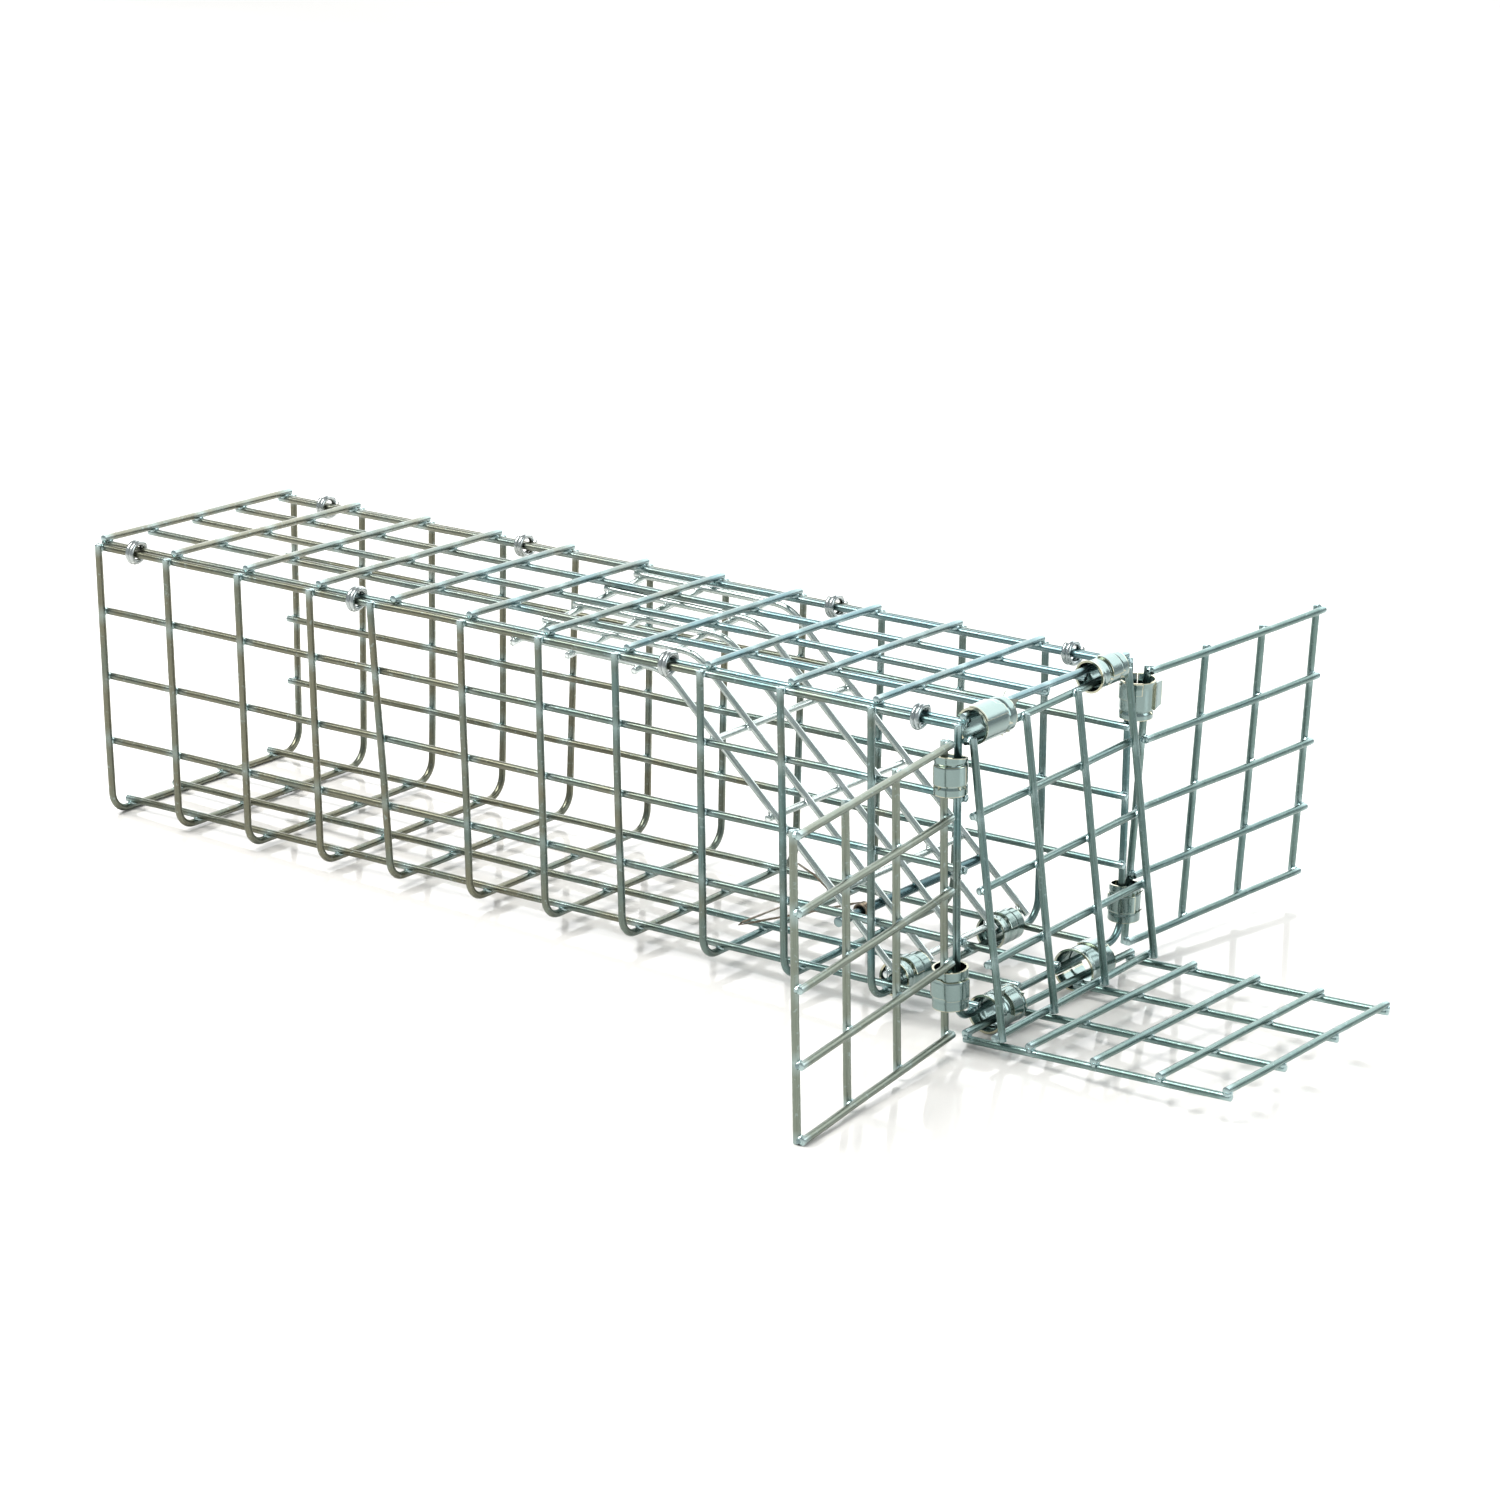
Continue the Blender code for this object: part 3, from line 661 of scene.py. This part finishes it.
def finish_clip(roll, name):
    ob = roll.skin.to_object(f"{name}_sheet", clip_zinc, sharp=32.0)
    place(ob, "cage", "clip_sheet", name)


def at_height(spec, z):
    """The point of a flap's hinge wire at height z."""
    pivot, run = Vector(spec[0]), Vector(spec[1])
    return pivot + run * ((z - pivot.z) / run.z)


def at_width(spec, y):
    """The point of a flap's hinge wire at width y."""
    pivot, run = Vector(spec[0]), Vector(spec[1])
    return pivot + run * ((y - pivot.y) / run.y)


FRONT_NEAR = (0.5, -0.8, 0.1)         # the side of a clip towards the near corner of the mouth


def main_roll(roll, low=-1.0, high=1.0):
    roll.sheet(roll.start, roll.start + CLIP_WRAP, low, high)


def tab(roll, turn, width, low, high):
    """The tongue of the sheet that laps over the seam, centred `turn` degrees from the front."""
    a = roll.front + radians(turn)
    roll.sheet(a - radians(width / 2), a + radians(width / 2), low, high, lift=CLIP_T + 0.03,
               thick=0.42, steps=16)


def teeth(roll, s, turns, out=0.5, height=1.0, ways=1, width=1.3):
    for turn in turns:
        roll.tooth(roll.front + radians(turn), s, width, height, out, ways)


def side_clips():
    for tag, spec, uy, sign, start in (("near", NEAR_FLAP, near_y, -1, 0.9),
                                       ("far", FAR_FLAP, far_y, 1, 5.2)):
        for pos, z in (("upper", -11.8), ("lower", -68.0)):
            cage_at = [Vector((LENGTH, uy(h) + sign * SINK, h)) for h in (z, z - 1)]
            wire = [at_height(spec, h) for h in (z, z - 1)]
            along = (cage_at[1] - cage_at[0]) + (wire[1] - wire[0])
            roll = Roll(cage_at[0], wire[0], along, SIDE_CLIP_LEN, start, CLIP_PLAY, FRONT_NEAR)
            front = roll.front
            if (tag, pos) == ("near", "upper"):
                roll.grooves = ((-0.55, 0.3), (0.52, 0.3))
                main_roll(roll, low=slanted(front + 0.5, 0.176))
                tab(roll, 6, 120, -0.5, 0.46)
                teeth(roll, 0.5, (-52, -30, 40, 62), 0.9, 0.9)
            elif (tag, pos) == ("near", "lower"):
                roll.grooves = ((-0.5, 0.16), (0.5, 0.16))
                main_roll(roll)
                tab(roll, 0, 150, step_edge(-0.5, -0.14, front + 0.35),
                    step_edge(0.46, -0.12, front + 0.2))
            elif (tag, pos) == ("far", "upper"):
                roll.grooves = ((0.62, 0.3),)
                roll.flare = (0.5, 0.0)
                main_roll(roll)
                tab(roll, 30, 90, step_edge(-0.98, 0.2, front + 0.9),
                    step_edge(-0.35, 0.3, front + 0.4))
                roll.tail(front - radians(72), -1, 4.6, -0.9, 0.55)
                teeth(roll, 0.62, (-60, 60), 0.8, 0.7)
            else:
                roll.grooves = ((-0.5, 0.3), (0.5, 0.3))
                main_roll(roll, low=slanted(front, 0.1))
                tab(roll, 20, 110, -0.44, 0.44)
                teeth(roll, -0.5, (-75, -52, -30), 1.0, 0.8, -1)
                teeth(roll, 0.5, (-75, -50), 1.0, 0.8, -1)
            finish_clip(roll, f"{tag}_clip_{pos}")


def cross_clips():
    for tag, spec, spots, length, start, play in (
            ("top", TOP_FLAP, (8.2, 65.1), TOP_CLIP_LEN, 2.6, CLIP_PLAY),
            ("floor", FLOOR_FLAP, (17.8, 60.2), FLOOR_CLIP_LEN, 2.4, FLOOR_PLAY)):
        for pos, y in zip(("near", "far"), spots):
            z = lid_z(y) + SINK if tag == "top" else FLOOR_Z - SINK
            along = Vector((0, 1, 0)) + Vector(spec[1])
            roll = Roll((LENGTH, y, z), at_width(spec, y), along, length, start, play,
                        (0.5, 0.0, 0.85))
            front = roll.front
            if (tag, pos) == ("top", "near"):
                roll.grooves = ((0.55, 0.3),)
                main_roll(roll)
                tab(roll, -5, 80, -0.97, step_edge(0.1, 0.3, front))
                teeth(roll, 0.98, (-40, 10), 0.6, 3.2, 1, 2.6)
                teeth(roll, 0.55, (70, 100, 125), 0.9, 0.8)
            elif (tag, pos) == ("top", "far"):
                roll.grooves = ((-0.25, 0.35), (0.55, 0.35))
                roll.flare = (0.5, 0.0)
                main_roll(roll)
                tab(roll, 10, 110, -0.2, 0.5)
                teeth(roll, 0.55, (60, 85), 1.0, 0.9)
                teeth(roll, -0.25, (75, 100), 0.8, 0.7)
            elif (tag, pos) == ("floor", "near"):
                roll.grooves = ((-0.45, 0.35), (-0.1, 0.25), (0.75, 0.3))
                roll.flare = (0.35, 0.1)
                main_roll(roll)
                teeth(roll, -0.1, (-10,), 1.6, 1.0, 1, 1.6)
                teeth(roll, 0.9, (-20, 20), 0.6, 0.9, 1, 1.6)
                tab(roll, 20, 100, -0.02, 0.7)
            else:
                roll.grooves = ((0.1, 0.3),)
                roll.flare = (0.45, 0.0)
                main_roll(roll)
                tab(roll, -30, 70, 0.15, 0.95)
                teeth(roll, -0.9, (110, 135, 160), 0.7, 1.2, -1, 1.8)
            finish_clip(roll, f"{tag}_clip_{pos}")


def ramp_clips():
    u_x, u_z = 10 * PITCH_LONG, FLOOR_Z - SINK
    for pos, y, length in (("near", 17.5, 12.0), ("far", 63.95, 10.7)):
        roll = Roll((u_x, y, u_z), (RAMP_HINGE[0], y, RAMP_HINGE[1]), (0, 1, 0), length, 3.4,
                    CLIP_PLAY, (0.7, 0.0, 0.7))
        roll.grooves = ((-0.35, 0.3), (0.35, 0.3))
        roll.flare = (0.3, 0.0)
        main_roll(roll)
        tab(roll, -20, 100, -0.3, 0.3)
        teeth(roll, -0.35, (-10, 14), 0.8, 0.6)
        finish_clip(roll, f"ramp_clip_{pos}")


# ---- ramp, rod and spring ----------------------------------------------------------------
def ramp_lines():
    hx, hz = RAMP_HINGE
    lines = []
    for (bx, bz), (lx, lz) in zip(RAMP_BEND, RAMP_LIP):
        slope = Vector((bx - hx, 0, bz - hz)).normalized()
        foot = Vector((hx, 0, hz)) + Vector((-slope.z, 0, slope.x)) * -RAMP_SINK
        lines.append((foot - slope * RAMP_STUB, foot, Vector((bx, 0, bz)), Vector((lx, 0, lz))))
    return lines


def ramp_path(k):
    near, far = ramp_lines()
    t = k / (RAMP_WIRES - 1)
    across = Vector((0, lerp(RAMP_Y[0], RAMP_Y[1], t), 0))
    start, _, bend, lip = [lerp(a, b, t) for a, b in zip(near, far)]
    up, back = (start - bend).normalized(), (lip - bend).normalized()
    p0, p2 = bend + up * 5.0, bend + back * 5.0
    arc = [p0 * (1 - s) ** 2 + bend * 2 * s * (1 - s) + p2 * s ** 2
           for s in [i / 8 for i in range(9)]]
    path = run_points(start, arc[0]) + arc[:-1] + run_points(arc[-1], lip) + [lip]
    return [p + across for p in path]


def ramp_crosses():
    near, far = ramp_lines()
    hx, hz = RAMP_HINGE
    wires = [(Vector((hx, RAMP_Y[0] - RAMP_STUB, hz)), Vector((hx, RAMP_Y[1] + RAMP_STUB, hz)))]
    slope = [(up, 1, 2) for up in SLOPE_CROSSES]
    lip = [(back, 2, 3) for back in LIP_CROSSES]
    for reach, a, b in slope + lip:
        ends = []
        for line, y in ((near, RAMP_Y[0]), (far, RAMP_Y[1])):
            run = line[b] - line[a]
            d = run.normalized()
            p = line[a] + d * min(reach, run.length - LAST_CROSS)
            p += Vector((-abs(d.z), 0, -abs(d.x))) * RAMP_SINK
            ends.append(Vector((p.x, y, p.z)))
        stub = (ends[1] - ends[0]).normalized() * RAMP_STUB
        wires.append((ends[0] - stub, ends[1] + stub))
    return wires


def rod_centre():
    """Middle of the rod at Y zero, and the way up the ramp."""
    near, far = ramp_lines()
    foot, bend = lerp(near[1], far[1], 0.5), lerp(near[2], far[2], 0.5)
    up = (bend - foot).normalized()
    return foot + up * ROD_AT + Vector((-up.z, 0, -abs(up.x))) * ROD_SET, up


def closest_on(path, p):
    """The point of a path nearest to p."""
    return min((Vector(q) for q in path), key=lambda q: (q - p).length)


def ramp():
    longs = [ramp_path(k) for k in range(RAMP_WIRES)]
    crosses = ramp_crosses()
    rod, up = rod_centre()
    crossings = []
    for cross in crosses:
        for k, path in enumerate(longs):
            t = k / (RAMP_WIRES - 1)
            end = cross[1] - cross[0]
            on = cross[0] + end * ((RAMP_STUB + t * (end.length - 2 * RAMP_STUB)) / end.length)
            other = closest_on(path, on)
            crossings.append((on + (other - on).normalized() * RAMP_SINK / 2, end, up))
    ob = welded("ramp_wires", longs + crosses, crossings, RAMP_R, ramp_zinc_painted_highlight, 80.0, 1.2)
    skin = Skin()
    skin.wire((rod.x, ROD_Y[0], rod.z), (rod.x, ROD_Y[1], rod.z), ROD_R, sides=18, seed=9.0)
    rod_ob = skin.to_object("ramp_rod", rod_zinc)
    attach(rod_ob, "ramp")
    place(ob, "ramp", "ramp_wire", "ramp_door")


def spring():
    rod, up = rod_centre()
    under = Vector((-up.z, 0, -abs(up.x)))
    per, turns = 22, SPRING_TURNS
    count = turns * per
    step = 2 * SPRING_WIRE_R + 0.1
    coil = []
    for i in range(count + 1):
        a = tau * i / per
        y = SPRING_Y + (0.5 - i / count) * turns * step
        coil.append(rod + (under * cos(a) + up * sin(a)) * SPRING_COIL_R
                    + Vector((0, y - rod.y, 0)))
    arm_y = SPRING_Y - 0.5 * turns * step

    def at(s, y, n):
        p = rod + up * (s - ROD_AT) + under * (n - ROD_SET)
        return Vector((p.x, y, p.z))
    # the arm, from the coil to the ramp's near wire
    coil += [at(22.0, arm_y - 1.3, 3.6), at(32.2, 10.0, 2.1), at(36.5, 6.6, 1.6)]
    skin = Skin()
    skin.tube(coil, SPRING_WIRE_R, sides=10, seed=3.0, shear=0.05)
    place(skin.to_object("spring_coil_wire", spring_steel), "ramp", "spring_wire", "spring_coil")
    tip = Vector(SPRING_TIP)
    hub = Vector((rod.x, SPRING_Y + 0.5 * turns * step + SPRING_WIRE_R + 0.6, rod.z))
    reach = (tip - hub).normalized()
    down = Vector((reach.z, 0, -reach.x)).normalized()
    loop = []
    for i in range(21):
        a = tau * 0.8 * (1 - i / 20)
        loop.append(hub + (down * cos(a) + Vector((reach.x, 0, reach.z)) * sin(a))
                    * SPRING_COIL_R)
    end = tip + Vector((4.6, 12.0, 2.6))
    leg = loop + run_points(loop[-1], tip)[1:] + [tip, tip + Vector((0.9, 0.3, 0.9)), end]
    skin = Skin()
    skin.tube(leg, SPRING_WIRE_R, sides=10, seed=7.0, shear=0.05)
    place(skin.to_object("spring_leg_wire", spring_steel), "leg", "spring_wire", "spring_leg")


cage()
lid()
rings()
flap("near_flap", NEAR_FLAP, FRONT, SIDE_GRID, near_zinc, "near_flap_body", 110.0)
flap("far_flap", FAR_FLAP, FRONT, SIDE_GRID, front_zinc, "far_flap_body", 150.0)
flap("top_flap", TOP_FLAP, FRONT, CROSS_GRID, front_zinc, "top_flap_body", 190.0)
flap("floor_flap", FLOOR_FLAP, BELOW, CROSS_GRID, front_zinc, "floor_flap_body", 230.0)
ramp()
spring()
side_clips()
cross_clips()
ramp_clips()


# ---- floor, light and camera ----------------------------------------------------------
FLOOR_TOUCH_X = 284.0                 # X at which the floor is at the model's height zero
FLOOR_HALF = 12.0                     # half the floor's width, in metres


def floor():
    """A pale glossy table, touched by the rear U wire and by the near flap's low corner."""
    back = TRAP.z + (FLOOR_Z - SINK - WIRE_R) * MM
    slope = -back / (FLOOR_TOUCH_X * MM)
    mesh = bpy.data.meshes.new("floor")
    corners = [(a * FLOOR_HALF, b * FLOOR_HALF) for a, b in ((-1, -1), (1, -1), (1, 1), (-1, 1))]
    mesh.from_pydata([(x, y, back + (x - TRAP.x) * slope) for x, y in corners], [],
                     [(0, 1, 2, 3)])
    n = Nodes("table_top")
    where = n.node("TexCoord").outputs["Object"]
    cloud = n.ramp(n.noise(where, 3.0, 2.0), 0.3, 0.7, 0.0, 1.0)
    n.link(n.mix(cloud, (0.80, 0.775, 0.75), (0.82, 0.80, 0.78)), n.shader.inputs["Base Color"])
    n.link(n.ramp(n.noise(where, 8.0, 3.0), 0.3, 0.7, 0.05, 0.09), n.shader.inputs["Roughness"])
    n.shader.inputs["IOR"].default_value = 1.32
    mesh.materials.append(n.mat)
    ob = bpy.data.objects.new("floor", mesh)
    bpy.context.scene.collection.objects.link(ob)


def softbox(name, at, aim, size, power, colour=(1.0, 1.0, 1.0)):
    data = bpy.data.lights.new(name, "AREA")
    data.shape = "RECTANGLE"
    data.size, data.size_y = size
    data.energy = power
    data.color = colour
    ob = bpy.data.objects.new(name, data)
    ob.location = at
    ob.rotation_euler = (Vector(aim) - Vector(at)).to_track_quat("-Z", "Y").to_euler()
    bpy.context.scene.collection.objects.link(ob)


def light():
    world = bpy.data.worlds.new("studio")
    bpy.context.scene.world = world
    world.use_nodes = True
    tree = world.node_tree
    back = tree.nodes["Background"]
    seen = tree.nodes.new("ShaderNodeBackground")
    seen.inputs["Color"].default_value = (1.0, 1.0, 1.0, 1.0)
    seen.inputs["Strength"].default_value = 1.0
    back.inputs["Color"].default_value = (0.80, 0.84, 0.86, 1.0)
    back.inputs["Strength"].default_value = 0.62
    path = tree.nodes.new("ShaderNodeLightPath")
    mix = tree.nodes.new("ShaderNodeMixShader")
    tree.links.new(path.outputs["Is Camera Ray"], mix.inputs[0])
    tree.links.new(back.outputs[0], mix.inputs[1])
    tree.links.new(seen.outputs[0], mix.inputs[2])
    tree.links.new(mix.outputs[0], tree.nodes["World Output"].inputs["Surface"])
    softbox("key", (-0.5, -0.5, 1.5), (0, 0, 0), (0.7, 1.3), 30.0, (1.0, 0.99, 0.96))
    softbox("back", (-0.3, 1.7, 0.9), (0, 0, 0.05), (3.2, 1.6), 34.0)
    softbox("side", (1.7, 0.4, 0.8), (0, 0, 0.05), (0.8, 1.2), 8.0, (0.95, 0.98, 1.0))


def camera():
    """Long lens above the near corner of the mouth."""
    place_mm = Vector((859.2, -962.1, 323.0))
    azimuth, elevation, roll = radians(33.78), radians(16.47), radians(1.557)
    forward = Vector((-sin(azimuth) * cos(elevation), cos(azimuth) * cos(elevation),
                      -sin(elevation)))
    right = forward.cross(Vector((0, 0, 1))).normalized()
    up = right.cross(forward)
    right, up = right * cos(roll) + up * sin(roll), up * cos(roll) - right * sin(roll)
    data = bpy.data.cameras.new("camera")
    data.lens = 114.1
    data.sensor_width = 36.0
    data.clip_start, data.clip_end = 0.05, 50.0
    ob = bpy.data.objects.new("camera", data)
    turn = Matrix((right, up, -forward)).transposed().to_4x4()
    ob.matrix_world = Matrix.Translation(TRAP + place_mm * MM) @ turn
    bpy.context.scene.collection.objects.link(ob)
    bpy.context.scene.camera = ob


floor()
light()
camera()
view = bpy.context.scene.view_settings
view.view_transform = "Standard"
view.exposure = 0.0
